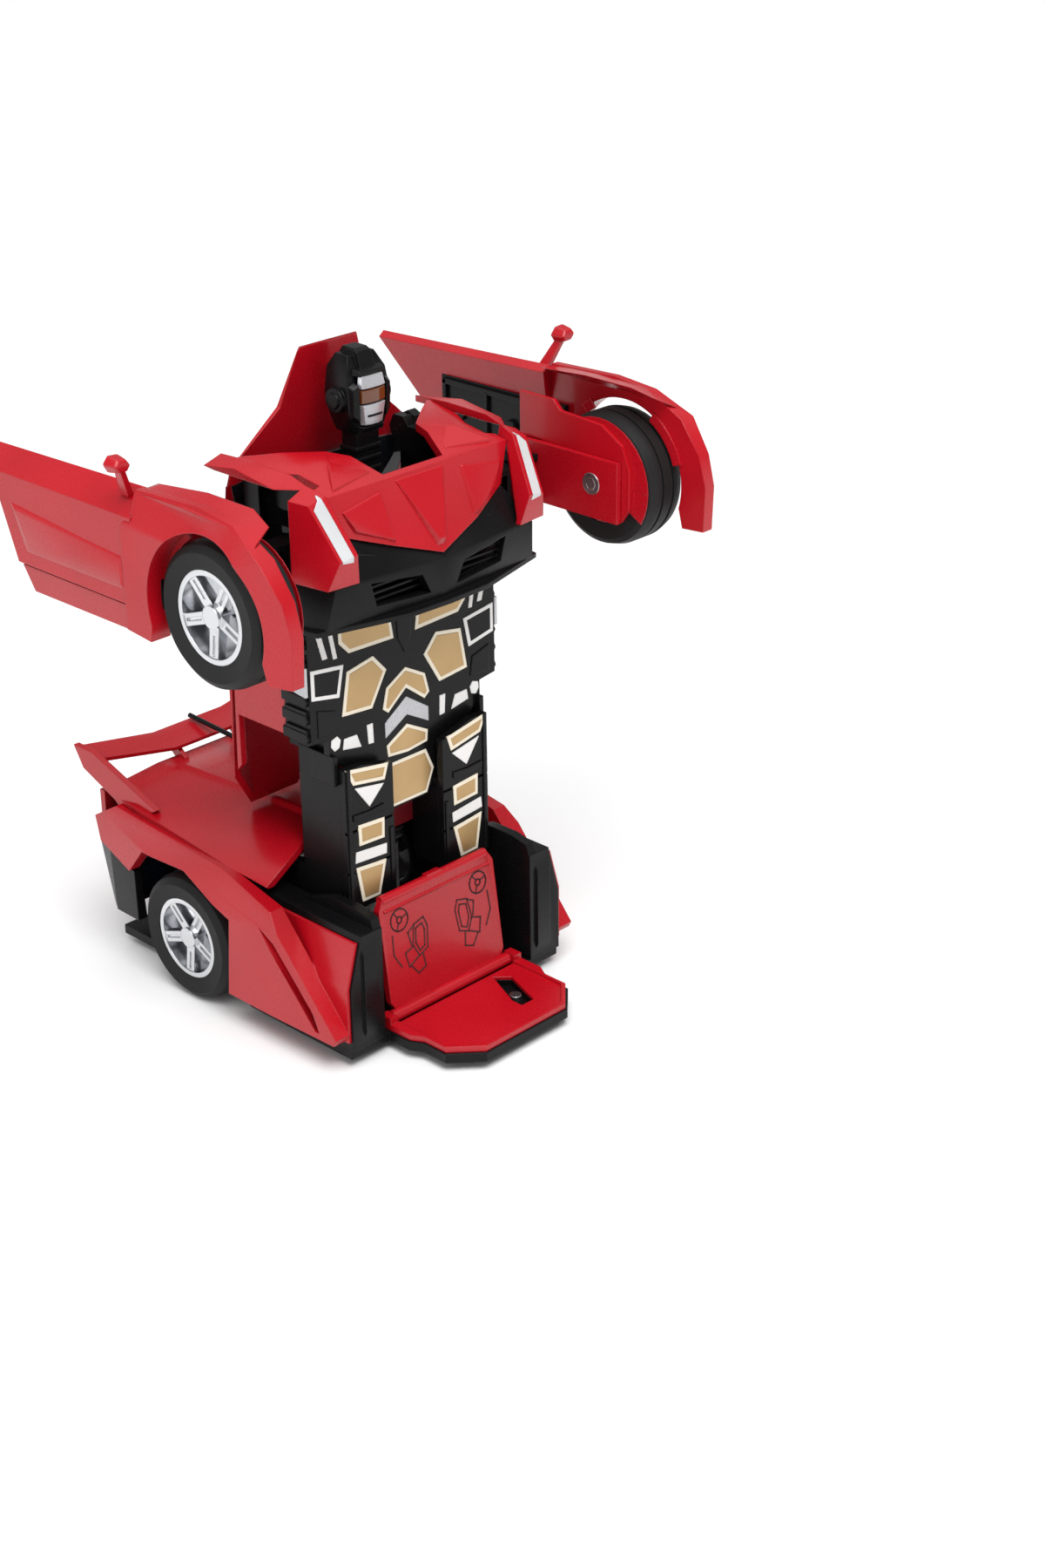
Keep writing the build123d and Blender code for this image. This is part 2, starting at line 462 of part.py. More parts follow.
# Arms: the doors and front wheels
def arms():
    """Link, door, fender, inner panel, mirror and wheel on each side."""
    end_x = LINK_X - LINK_LENGTH
    for name, side in (("left", 1), ("right", -1)):
        bar = block((end_x, LINK_X), (LINK_Y - LINK_HALF, LINK_Y + LINK_HALF), LINK_Z)
        bar -= block((end_x + 8, LINK_X - 8), (LINK_Y + 1.2, LINK_Y + 5), (13.5, 20.5))
        for x in (end_x, LINK_X):
            bar += post((x, LINK_Y), *LINK_Z, LINK_HALF)
        for x in (end_x, LINK_X):
            bar -= post((x, LINK_Y), 5, 30, PIN_RADIUS + RUNNING_GAP)
        add(f"arm_link_{name}", f"link_{name}", sided(bar, side))
        arm = f"arm_{name}"
        pins = [post((end_x, LINK_Y), 9.7, 24.3, PIN_RADIUS),
                rod((WHEELBASE, WHEEL_RADIUS), 30, WHEEL_OUTER - 3, AXLE_RADIUS)]
        add(f"arm_pins_{name}", arm, *[sided(pin, side) for pin in pins])

        door = hull([(50, 42, 45), (50, 40, 43.4), (121, 43, 47.2), (121, 40.4, 45.4), (60, 49.4, 40.5),
                     (122, 49.8, 40.5), (70.5, 50, 16), (118, 50, 16), (71, 47.4, 15.2), (118, 47.4, 15.2),
                     (62, 46.4, 39), (118, 46.4, 39)])
        sill = hull([(71.5, 44.6, 14.5), (71.5, 49.4, 15.4), (118, 44.6, 14.5), (118, 49.4, 15.4),
                     (75, 44.6, 7), (75, 48.6, 8), (118, 44.6, 7), (118, 48.6, 8)])
        add(f"door_panel_{name}", arm, sided(door + sill, side))

        arch = rod((WHEELBASE, WHEEL_RADIUS), 30, 60, WHEEL_RADIUS + 2.4)
        wing = along_y([(118.1, 9), (128, 8), (130, 20), (170, 20), (173, 8), (181, 8.6), (181.6, 22),
                        (179, 31), (172, 40.5), (160, 46.8), (146, 48.4), (121.1, 47.4), (121.1, 41),
                        (118.1, 38)], 44, 50.4)
        wing &= along_x([(43, 0), (50.4, 0), (50.4, 38), (46, 49), (43, 49)], 110, 190)
        wing &= along_z([(110, 43), (110, 50.4), (165, 50.4), (190, 46.6), (190, 43)], 0, 60)
        lid = skin([(121.1, 39, 47.2), (121.1, 46.8, 46.8), (140, 38, 48.8), (140, 47.6, 47.4),
                    (158, 38, 48.6), (158, 47.4, 46.4), (166, 40, 46.2), (168, 47, 42.6)], (0, 0, -2.2))
        fender = (wing - arch + lid) - arch - door - sill
        fender = fender.solids().sort_by(SortBy.VOLUME)[-1]
        wall = along_y([(128.2, 9.7), (128.2, 28.2), (119.5, 28.2), (119.5, 41.5), (133, 41.5), (136, 38.6),
                        (152, 37.6), (160, 33), (163, 26), (163, 14), (160, 9.7)], 31.8, 33.1)
        wall -= rod((WHEELBASE, WHEEL_RADIUS), 28, 34, AXLE_RADIUS + 0.01)
        plate = block((119.5, 160), (30, 31.5), (9.7, 28))
        ears = block((120.4, 128.6), (22.4, 30.2), (22.3, 24.3)) + block((120.4, 128.6), (22.4, 30.2),
                                                                         (9.7, 11.7))
        bridge = block((118.5, 128), (31.4, 45.8), (12, 28))
        backing = block((76, 128), (42.0, 44.0), (14, 36))
        inner = plate + ears + bridge + backing - block((120.5, 126), (34, 41.5), (14, 30))
        add(f"front_fender_{name}", arm, sided(fender, side), sided(wall, side))
        inner -= rod((WHEELBASE, WHEEL_RADIUS), 28, 34, AXLE_RADIUS + 0.01)
        inner -= post((end_x, LINK_Y), 5, 30, PIN_RADIUS + 0.01)
        inner = inner - door - sill - fender
        add(f"arm_inner_panel_{name}", arm, sided(inner.solids().sort_by(SortBy.VOLUME)[-1], side))

        stalk = hull([(114, 44.5, 44.6), (118, 44.5, 44.6), (114, 46.5, 44.2), (118, 46.5, 44.2),
                      (118, 49, 53), (121, 49, 53), (118, 51, 53), (121, 51, 53)])
        glass = hull([(117, 47, 52), (117, 54, 52.5), (117, 47, 56.5), (117, 54, 57), (122, 47.6, 52.4),
                      (122, 53.4, 52.8), (122, 47.6, 56), (122, 53.4, 56.4), (119.5, 50.5, 57.6)])
        add(f"mirror_{name}", arm, sided(stalk + glass - door, side))
        wheel(f"front_{name}", f"wheel_front_{name}", WHEELBASE, side, AXLE_RADIUS + RUNNING_GAP, 2.8)


chassis()
rear_body()
rear_drive()
hip_drive()
seat()
torso()
head()
chest()
arms()

os.makedirs("parts", exist_ok=True)
for node, shape in nodes.items():
    export_step(shape, f"parts/{node}.step")
print(len(nodes), "nodes")
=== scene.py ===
import json
import math

import bmesh
import bpy
from mathutils import Matrix, Vector


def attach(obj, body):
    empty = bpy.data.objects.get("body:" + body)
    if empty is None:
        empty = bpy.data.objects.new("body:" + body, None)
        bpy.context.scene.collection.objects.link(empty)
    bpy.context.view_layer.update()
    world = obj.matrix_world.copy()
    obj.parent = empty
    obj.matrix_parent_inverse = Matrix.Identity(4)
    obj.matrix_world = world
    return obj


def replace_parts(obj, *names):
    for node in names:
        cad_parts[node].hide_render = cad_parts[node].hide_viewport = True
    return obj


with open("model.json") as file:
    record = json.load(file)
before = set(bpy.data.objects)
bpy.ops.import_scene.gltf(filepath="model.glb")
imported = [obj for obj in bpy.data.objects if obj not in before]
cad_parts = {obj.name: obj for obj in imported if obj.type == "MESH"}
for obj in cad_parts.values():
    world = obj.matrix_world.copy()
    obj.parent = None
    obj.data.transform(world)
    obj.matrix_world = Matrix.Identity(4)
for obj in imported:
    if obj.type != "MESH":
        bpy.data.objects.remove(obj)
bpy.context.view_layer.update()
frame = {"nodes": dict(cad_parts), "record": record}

# Lengths are millimetres. Pieces with a `drawn` body are drawn in the car's pose (x forward from the rear axle,
# y left, z up) and moved into the robot's pose; the others are drawn where they stand in the robot's pose.
MM = 0.001
CENTRE_X = 20.0
TORSO_X = 60.0
TORSO_RISE = 25.0
CHEST_SHIFT = (-120.0, 0.0, 130.0)
ARM_SHIFT = (-87.0, 33.0, 130.0)
SEAT_HINGE = (64.0, 8.0)
SEAT_TURN = math.radians(-98)
FRONT_WHEEL_X, FRONT_WHEEL_Z = 150, 20


def shift(x, y, z):
    return Matrix.Translation((x, y, z))


def torso_turn():
    return Matrix(((0, 0, -1, TORSO_X), (0, 1, 0, 0), (1, 0, 0, TORSO_RISE), (0, 0, 0, 1)))


def seat_turn():
    x, z = SEAT_HINGE
    return shift(x, 0, z) @ Matrix.Rotation(SEAT_TURN, 4, "Y") @ shift(-x, 0, -z)


def arm_shift(side):
    return shift(ARM_SHIFT[0], side * ARM_SHIFT[1], ARM_SHIFT[2])


MOVES = {"base": Matrix.Identity(4), "torso": torso_turn(), "head": torso_turn(), "seat": seat_turn(),
         "chest": shift(*CHEST_SHIFT), "arm_left": arm_shift(1), "arm_right": arm_shift(-1),
         "wheel_front_left": arm_shift(1), "wheel_front_right": arm_shift(-1),
         "wheel_rear_left": Matrix.Identity(4), "wheel_rear_right": Matrix.Identity(4)}


def to_scene(body):
    """Car-mode millimetres on a body to scene metres in the robot's pose."""
    return Matrix.Scale(MM, 4) @ shift(-CENTRE_X, 0, 0) @ MOVES[body]


# Materials

NOISE_LOW, NOISE_HIGH = 0.3, 0.7
RELIEF_DEPTH = 0.0002  # metres
EDGE_SAMPLES = 4


def node(tree, kind, **values):
    made = tree.nodes.new(kind)
    for key, value in values.items():
        if hasattr(made, key):
            setattr(made, key, value)
        else:
            made.inputs[key.replace("_", " ")].default_value = value
    return made


def finish_of(name, dark, light, rough=(0.3, 0.4), metal=0.0, grain=3500.0, patch=40.0, bump=0.02,
              coat=0.0, coat_rough=0.05, edge=0.0004, transmission=0.0, ior=1.5, spec=0.5):
    """A moulded or printed finish: two close colours, uneven gloss, fine grain and softened edges."""
    mat = bpy.data.materials.new(name)
    mat.use_nodes = True
    tree = mat.node_tree
    shader = tree.nodes["Principled BSDF"]
    shader.inputs["Metallic"].default_value = metal
    shader.inputs["Coat Weight"].default_value = coat
    shader.inputs["Coat Roughness"].default_value = coat_rough
    shader.inputs["Transmission Weight"].default_value = transmission
    shader.inputs["IOR"].default_value = ior
    shader.inputs["Specular IOR Level"].default_value = spec
    coords = node(tree, "ShaderNodeTexCoord")
    wide = node(tree, "ShaderNodeTexNoise", Scale=patch, Detail=3.0)
    fine = node(tree, "ShaderNodeTexNoise", Scale=grain, Detail=2.0)
    tree.links.new(coords.outputs["Object"], wide.inputs["Vector"])
    tree.links.new(coords.outputs["Object"], fine.inputs["Vector"])
    ramp = node(tree, "ShaderNodeValToRGB")
    first, last = ramp.color_ramp.elements
    first.position, last.position = NOISE_LOW, NOISE_HIGH
    first.color, last.color = (*dark, 1), (*light, 1)
    tree.links.new(wide.outputs["Fac"], ramp.inputs["Fac"])
    tree.links.new(ramp.outputs["Color"], shader.inputs["Base Color"])
    gloss = node(tree, "ShaderNodeMapRange")
    gloss.inputs["From Min"].default_value, gloss.inputs["From Max"].default_value = NOISE_LOW, NOISE_HIGH
    gloss.inputs["To Min"].default_value, gloss.inputs["To Max"].default_value = rough
    tree.links.new(fine.outputs["Fac"], gloss.inputs["Value"])
    tree.links.new(gloss.outputs["Result"], shader.inputs["Roughness"])
    soft = node(tree, "ShaderNodeBevel", samples=EDGE_SAMPLES)
    soft.inputs["Radius"].default_value = edge
    relief = node(tree, "ShaderNodeBump")
    relief.inputs["Strength"].default_value = bump
    relief.inputs["Distance"].default_value = RELIEF_DEPTH
    tree.links.new(fine.outputs["Fac"], relief.inputs["Height"])
    tree.links.new(soft.outputs["Normal"], relief.inputs["Normal"])
    tree.links.new(relief.outputs["Normal"], shader.inputs["Normal"])
    if coat:
        tree.links.new(soft.outputs["Normal"], shader.inputs["Coat Normal"])
    return mat


FINISH = {
    "red_plastic": finish_of("red_plastic", (0.37, 0.0025, 0.008), (0.42, 0.0035, 0.011), (0.24, 0.32),
                             coat=0.12, spec=0.4, grain=5000, bump=0.015),
    "black_plastic": finish_of("black_plastic", (0.0035, 0.0035, 0.004), (0.006, 0.006, 0.0065), (0.24, 0.32),
                               bump=0.08, spec=0.16),
    "tyre_rubber": finish_of("tyre_rubber", (0.006, 0.006, 0.0065), (0.011, 0.011, 0.0115), (0.5, 0.65),
                             bump=0.2, spec=0.22),
    "chrome_plastic": finish_of("chrome_plastic", (0.62, 0.63, 0.65), (0.72, 0.73, 0.75), (0.12, 0.2), metal=1.0,
                                bump=0.01),
    "steel": finish_of("steel", (0.42, 0.42, 0.43), (0.5, 0.5, 0.51), (0.25, 0.4), metal=1.0, bump=0.05),
    "dark_glass": finish_of("dark_glass", (0.006, 0.007, 0.009), (0.01, 0.011, 0.013), (0.04, 0.08),
                            coat=0.15, bump=0.0, spec=0.3),
    "clear_lens": finish_of("clear_lens", (0.72, 0.74, 0.76), (0.85, 0.87, 0.88), (0.08, 0.14), transmission=0.35,
                            coat=0.5, bump=0.0),
    "red_lens": finish_of("red_lens", (0.35, 0.004, 0.006), (0.45, 0.006, 0.01), (0.08, 0.12), transmission=0.3,
                          coat=0.5, bump=0.0),
    "battery_wrap": finish_of("battery_wrap", (0.02, 0.10, 0.25), (0.03, 0.12, 0.3), (0.3, 0.4), bump=0.04),
    "board": finish_of("board", (0.01, 0.12, 0.04), (0.02, 0.16, 0.06), (0.35, 0.5), bump=0.2, patch=300),
    "white_plastic": finish_of("white_plastic", (0.75, 0.74, 0.71), (0.82, 0.81, 0.78), (0.35, 0.45), bump=0.05),
    "silver_plastic": finish_of("silver_plastic", (0.5, 0.51, 0.54), (0.6, 0.61, 0.63), (0.22, 0.34), metal=0.85,
                                bump=0.04),
    "eye_lens": finish_of("eye_lens", (0.10, 0.025, 0.004), (0.16, 0.04, 0.006), (0.05, 0.1), coat=0.5, bump=0.0),
    "gold_foil": finish_of("gold_foil", (0.43, 0.275, 0.115), (0.52, 0.345, 0.155), (0.3, 0.42), metal=0.35,
                           bump=0.06),
    "cream_print": finish_of("cream_print", (0.78, 0.70, 0.55), (0.84, 0.77, 0.63), (0.35, 0.45), bump=0.03),
    "white_print": finish_of("white_print", (0.74, 0.73, 0.71), (0.82, 0.81, 0.79), (0.35, 0.45), bump=0.03),
    "silver_foil": finish_of("silver_foil", (0.42, 0.42, 0.44), (0.52, 0.52, 0.54), (0.25, 0.38), metal=0.6,
                             bump=0.05),
    "black_print": finish_of("black_print", (0.0035, 0.0035, 0.004), (0.006, 0.006, 0.0065), (0.25, 0.35),
                             bump=0.03, spec=0.16),
    "dark_line": finish_of("dark_line", (0.03, 0.002, 0.003), (0.045, 0.003, 0.004), (0.4, 0.5), bump=0.03),
    # A darker red: painted shade for the recessed bridge between the legs.
    "painted_shade_red": finish_of("painted_shade_red", (0.16, 0.004, 0.008), (0.22, 0.006, 0.012), (0.3, 0.4), bump=0.05),
}


# Mesh helpers

SMOOTH_BELOW = math.radians(30)
FLAT_BELOW = math.radians(0.5)
HULL_FLAT_BELOW = math.radians(0.6)
WELD = 2e-6  # metres


def new_piece(name, mesh, body, finish):
    """A piece in scene metres that rides on a body and wears a finish."""
    mesh.materials.clear()
    mesh.materials.append(FINISH[finish])
    for face in mesh.polygons:
        face.use_smooth = True
    mesh.set_sharp_from_angle(angle=SMOOTH_BELOW)
    made = bpy.data.objects.new(name, mesh)
    bpy.context.scene.collection.objects.link(made)
    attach(made, body)
    return made


def rounded(made, width, segments):
    """Bevels the sharp edges of a piece and gives back the modifier."""
    edge = made.modifiers.new("edge", "BEVEL")
    edge.width, edge.segments, edge.limit_method = width * MM, segments, "ANGLE"
    return edge


def clean_copy(name, source):
    """The node's mesh with joined corners and whole flat faces."""
    work = bmesh.new()
    work.from_mesh(source.data)
    bmesh.ops.remove_doubles(work, verts=work.verts, dist=WELD)
    bmesh.ops.dissolve_limit(work, angle_limit=FLAT_BELOW, verts=work.verts, edges=work.edges)
    for layer in list(work.loops.layers.uv.values()):
        work.loops.layers.uv.remove(layer)
    spots = {vert.index: vert.co.copy() for vert in work.verts}
    faces = [[vert.index for vert in face.verts] for face in work.faces]
    order = {old: new for new, old in enumerate(spots)}
    mesh = bpy.data.meshes.new(name)
    mesh.from_pydata(list(spots.values()), [], [[order[i] for i in face] for face in faces])
    work.free()
    mesh.update()
    return mesh


BODY_OF = {piece: body for body, group in frame["record"]["behaviour"]["bodies"].items() for piece in group}


def dress(names, finish):
    """Stands a cleaned, finished copy in for each CAD node."""
    for name in names.split():
        mesh = clean_copy("shown_" + name, frame["nodes"][name])
        made = new_piece("shown_" + name, mesh, BODY_OF[name], finish)
        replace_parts(made, name)


dress("chassis_floor inner_fenders rear_bumper antenna battery_cover torso_frame shoulder_arms leg_covers "
      "torso_front_plate front_bumper chest_frame arm_link_left arm_link_right arm_inner_panel_left "
      "arm_inner_panel_right power_switch", "black_plastic")
dress("seat_tray rear_body_shell spoiler_wing torso_sides roof_panel hood_panel lamp_strips door_panel_left "
      "seat_pin door_panel_right front_fender_left front_fender_right seat_back", "red_plastic")
dress("front_left_tyre front_right_tyre rear_left_tyre rear_right_tyre", "tyre_rubber")
dress("front_left_rim front_right_rim rear_left_rim rear_right_rim", "chrome_plastic")
dress("chassis_screws drive_motors hip_motor hip_shaft arm_pins_left arm_pins_right rear_axle_left "
      "rear_axle_right", "steel")
dress("gearbox_frames motor_pinion_left motor_pinion_right hip_pinion", "white_plastic")
dress("windscreen side_windows", "dark_glass")
dress("headlights", "clear_lens")
dress("tail_lights", "red_lens")
dress("battery_pack", "battery_wrap")
dress("circuit_board", "board")


# Printed panels on the torso's front

TORSO_FACE = 28.4
LEG_FACE = 32.6
PRINT_BASE = -0.3
BORDER_TOP, WHITE_TOP, SILVER_TOP, FOIL_TOP = 0.22, 0.24, 0.26, 0.3
BORDER_WIDTH, CENTRE_BORDER_WIDTH, CORNER_BORDER_WIDTH = 1.15, 1.0, 1.2
MITRE_LIMIT = 0.35


def inset(points, gap):
    """The outline moved inward by gap; points run anticlockwise."""
    count = len(points)
    moved = []
    for i in range(count):
        (ax, ay), (bx, by), (cx, cy) = points[i - 1], points[i], points[(i + 1) % count]
        d1, d2 = Vector((bx - ax, by - ay)).normalized(), Vector((cx - bx, cy - by)).normalized()
        n1, n2 = Vector((-d1.y, d1.x)), Vector((-d2.y, d2.x))
        middle = (n1 + n2) / max(1 + n1.dot(n2), MITRE_LIMIT)
        moved.append((bx + middle.x * gap, by + middle.y * gap))
    return moved


def turned(points):
    """The outline in anticlockwise order."""
    area = sum(a[0] * b[1] - b[0] * a[1] for a, b in zip(points, points[1:] + points[:1]))
    return list(points) if area > 0 else list(reversed(points))


def mirrored(points):
    """The outline across the middle, still anticlockwise."""
    return turned([(-y, z) for y, z in points])


def slabs(name, body, finish, parts, bevel=0.0):
    """One mesh of extruded outlines. Each part is (outline, base, top, place); place takes (u, v, height) to a point
    in the robot's pose."""
    work = bmesh.new()
    for outline, low, high, place in parts:
        base = [work.verts.new(Vector(place(u, v, low)) * MM) for u, v in outline]
        top = [work.verts.new(Vector(place(u, v, high)) * MM) for u, v in outline]
        work.faces.new(list(reversed(base)))
        work.faces.new(top)
        for i in range(len(outline)):
            j = (i + 1) % len(outline)
            work.faces.new((base[i], base[j], top[j], top[i]))
    bmesh.ops.recalc_face_normals(work, faces=work.faces)
    mesh = bpy.data.meshes.new(name)
    work.to_mesh(mesh)
    work.free()
    made = new_piece(name, mesh, body, finish)
    if bevel:
        rounded(made, bevel, 2)


def front_of(face):
    """Places (y, z, height) on a plane that faces forward."""
    return lambda u, v, h: (face + h, u, v)


def side_of(side, face):
    """Places (x, z, height) on a plane that faces sideways."""
    return lambda u, v, h: (u, side * (face + h), v)


PANELS = {
    "bodice": [(-25.0, 127.0), (-21.5, 130.0), (-5.8, 127.8), (-4.2, 117.6), (-21.5, 118.2), (-25.0, 122.0)],
    "waist": [(-22.4, 112.8), (-12.4, 114.6), (-7.4, 109.0), (-13.4, 98.8), (-24.8, 99.8)],
}
LEG_PANELS = {
    "belt": [(-28.2, 85.4), (-11.8, 82.6), (-13.4, 77.8), (-25.6, 80.0)],
    "knee": [(-24.2, 66.8), (-14.0, 66.0), (-14.2, 59.6), (-24.0, 60.2)],
    "shin": [(-25.6, 53.6), (-13.8, 52.4), (-16.6, 41.8), (-23.6, 42.0)],
}
WHITE = [[(-34.4, 130.5), (-32.6, 130.5), (-29.4, 119.0), (-31.2, 119.0)],
         [(-29.4, 129.4), (-28.0, 129.4), (-25.8, 118.0), (-27.2, 118.0)],
         [(-29.2, 93.8), (-27.0, 94.5), (-25.8, 93.0), (-26.4, 90.8), (-28.2, 90.2), (-29.4, 91.8)],
         [(-24.4, 92.8), (-19.6, 92.6), (-18.0, 88.4), (-25.0, 89.6)],
         [(-15.6, 94.2), (-13.4, 94.2), (-13.2, 88.0), (-15.2, 88.2)]]
LEG_WHITE = [[(-25.0, 78.8), (-13.8, 76.8), (-19.6, 71.4)],
             [(-25.4, 58.6), (-13.4, 57.4), (-13.6, 54.2), (-25.8, 55.2)]]
CHEVRON_GOLD = [(-9.2, 97.0), (-7.6, 103.2), (0.0, 107.4), (7.6, 103.2), (9.2, 97.0), (7.2, 95.4), (0.0, 101.0),
                (-7.2, 95.4)]
CHEVRON_SILVER = [(-8.6, 92.4), (0.0, 98.2), (8.6, 92.4), (8.6, 87.8), (0.0, 92.6), (-8.6, 87.8)]
CHEVRON_LOW = [(-8.2, 85.2), (0.0, 89.6), (8.2, 85.2), (7.8, 81.6), (0.0, 80.8), (-7.8, 81.6)]
BUCKLE = [(-7.2, 79.2), (7.2, 79.2), (10.2, 72.4), (7.2, 65.2), (-7.2, 65.2), (-10.2, 72.4)]
CORNER_FRAME = [(-35.8, 117.0), (-23.6, 115.4), (-25.6, 106.0), (-35.8, 108.0)]


def prints():
    face, leg = front_of(TORSO_FACE), front_of(LEG_FACE)
    cream, gold, white = [], [], []
    for place, group in ((face, PANELS), (leg, LEG_PANELS)):
        for outline in group.values():
            for shape in (turned(outline), mirrored(outline)):
                cream.append((shape, PRINT_BASE, BORDER_TOP, place))
                gold.append((inset(shape, BORDER_WIDTH), 0.0, FOIL_TOP, place))
    for shape in (turned(CHEVRON_GOLD), turned(BUCKLE), turned(CHEVRON_LOW)):
        cream.append((shape, PRINT_BASE, BORDER_TOP, face))
        gold.append((inset(shape, CENTRE_BORDER_WIDTH), 0.0, FOIL_TOP, face))
    for place, group in ((face, WHITE), (leg, LEG_WHITE)):
        for outline in group:
            for shape in (turned(outline), mirrored(outline)):
                white.append((shape, PRINT_BASE, WHITE_TOP, place))
    corners = (turned(CORNER_FRAME), mirrored(CORNER_FRAME))
    white += [(shape, PRINT_BASE, WHITE_TOP, face) for shape in corners]
    silver = [(turned(CHEVRON_SILVER), PRINT_BASE, SILVER_TOP, face)]
    black = [(inset(shape, CORNER_BORDER_WIDTH), 0.0, FOIL_TOP, face) for shape in corners]
    slabs("torso_panel_borders", "torso", "cream_print", cream)
    slabs("torso_gold_panels", "torso", "gold_foil", gold)
    slabs("torso_white_marks", "torso", "white_print", white)
    slabs("torso_silver_chevron", "torso", "silver_foil", silver)
    slabs("torso_black_marks", "torso", "black_print", black)


ARMOUR_CENTRE = [(-3.2, 130), (-2.6, 117), (0, 112), (2.6, 117), (3.2, 130)]
ARMOUR_FLANK = [(-34, 104.5), (-27, 102.5), (-26, 96.5), (-34, 96)]
ARMOUR_LEG = [[(-28, 85.6), (-26.6, 85.6), (-26.6, 40.6), (-28, 40.6)],
              [(-12, 62), (-10.6, 62), (-10.6, 40.6), (-12, 40.6)],
              [(-26, 70.6), (-20, 70.2), (-14, 70.6), (-14, 68.6), (-26, 68.6)]]
ARMOUR_BASE, ARMOUR_TOP, ARMOUR_LEG_TOP = -0.4, 0.34, 0.45


def armour():
    """Raised moulding between the printed panels."""
    face, leg = front_of(TORSO_FACE), front_of(LEG_FACE)
    raised = [(outline, ARMOUR_BASE, ARMOUR_TOP, face)
              for outline in (turned(ARMOUR_CENTRE), turned(ARMOUR_FLANK), mirrored(ARMOUR_FLANK))]
    for outline in ARMOUR_LEG:
        raised.append((turned(outline), ARMOUR_BASE, ARMOUR_LEG_TOP, leg))
        raised.append((mirrored(outline), ARMOUR_BASE, ARMOUR_LEG_TOP, leg))
    slabs("torso_armour", "torso", "black_plastic", raised, bevel=0.15)


RIB_COUNT, RIB_FIRST_Z, RIB_PITCH, RIB_HALF = 7, 96.6, 5.6, 1.6
RIB_FACE, RIB_BASE, RIB_TOP = 36.9, -0.6, 0.55


def side_ribs():
    """Stacked ribs with pointed front ends on both sides of the torso."""
    parts = []
    for step in range(RIB_COUNT):
        z = RIB_FIRST_Z + step * RIB_PITCH
        outline = [(17.4, z - RIB_HALF), (27.4, z - RIB_HALF), (28.2, z), (27.4, z + RIB_HALF), (17.4, z + RIB_HALF)]
        for side in (-1, 1):
            parts.append((outline, RIB_BASE, RIB_TOP, side_of(side, RIB_FACE)))
    slabs("torso_side_ribs", "torso", "black_plastic", parts, bevel=0.25)


# Solids and line work

def solid(name, body, finish, groups, drawn=None, bevel=0.3):
    """Convex blocks, each given by its corner points, as one piece with rounded edges."""
    turn = to_scene(drawn) if drawn else Matrix.Scale(MM, 4)
    work = bmesh.new()
    for points in groups:
        corners = [work.verts.new(turn @ Vector(p)) for p in points]
        hull = bmesh.ops.convex_hull(work, input=corners)
        spare = [g for g in hull["geom_interior"] + hull["geom_unused"] if isinstance(g, bmesh.types.BMVert)]
        bmesh.ops.delete(work, geom=list(set(spare)), context="VERTS")
    bmesh.ops.dissolve_limit(work, angle_limit=HULL_FLAT_BELOW, verts=work.verts, edges=work.edges)
    bmesh.ops.recalc_face_normals(work, faces=work.faces)
    mesh = bpy.data.meshes.new(name)
    work.to_mesh(mesh)
    work.free()
    made = new_piece(name, mesh, body, finish)
    if bevel:
        rounded(made, bevel, 3).harden_normals = True
    return made


def twin(points):
    """Every point and its mirror across the middle."""
    return [*points, *[(x, -y, z) for x, y, z in points]]


def on_side(side, points):
    """Points drawn on the left (side 1), or their mirror across the middle (side -1)."""
    return [(x, side * y, z) for x, y, z in points]


def disc(centre, axis, radius, low, high, sides=32):
    """Rim points of a short cylinder along y or z."""
    x, y, z = centre
    angles = [i * math.tau / sides for i in range(sides)]
    ring = [(radius * math.cos(angle), radius * math.sin(angle)) for angle in angles]
    if axis == "y":
        return [(x + a, y + h, z + b) for a, b in ring for h in (low, high)]
    return [(x + a, y + b, z + h) for a, b in ring for h in (low, high)]


def stroke(path, width, closed=False):
    """Outlines of thin bars that follow a path of (u, v) points."""
    ends = list(zip(path, path[1:] + path[:1])) if closed else list(zip(path, path[1:]))
    bars = []
    for (ax, ay), (bx, by) in ends:
        run = Vector((bx - ax, by - ay)).normalized() * width / 2
        side = Vector((-run.y, run.x))
        bars.append([(ax - run.x + side.x, ay - run.y + side.y), (ax - run.x - side.x, ay - run.y - side.y),
                     (bx + run.x - side.x, by + run.y - side.y), (bx + run.x + side.x, by + run.y + side.y)])
    return bars


def round_path(u, v, radius, sides=20):
    """Points around a circle."""
    angles = [math.tau * i / sides for i in range(sides)]
    return [(u + radius * math.cos(angle), v + radius * math.sin(angle)) for angle in angles]


# Head: a plain helmet with a blank mask and one visor band, designed for this model

EAR_X, EAR_Z = 13, 185
NECK_RING_Z = (160, 163.2, 166.4, 169.6)
NECK_RING_HEIGHT = 1.3
GROOVE_LOW, GROOVE_HIGH = 180.2, 180.2 + 0.6
VISOR_LOW, VISOR_HIGH = 184.1, 187.9


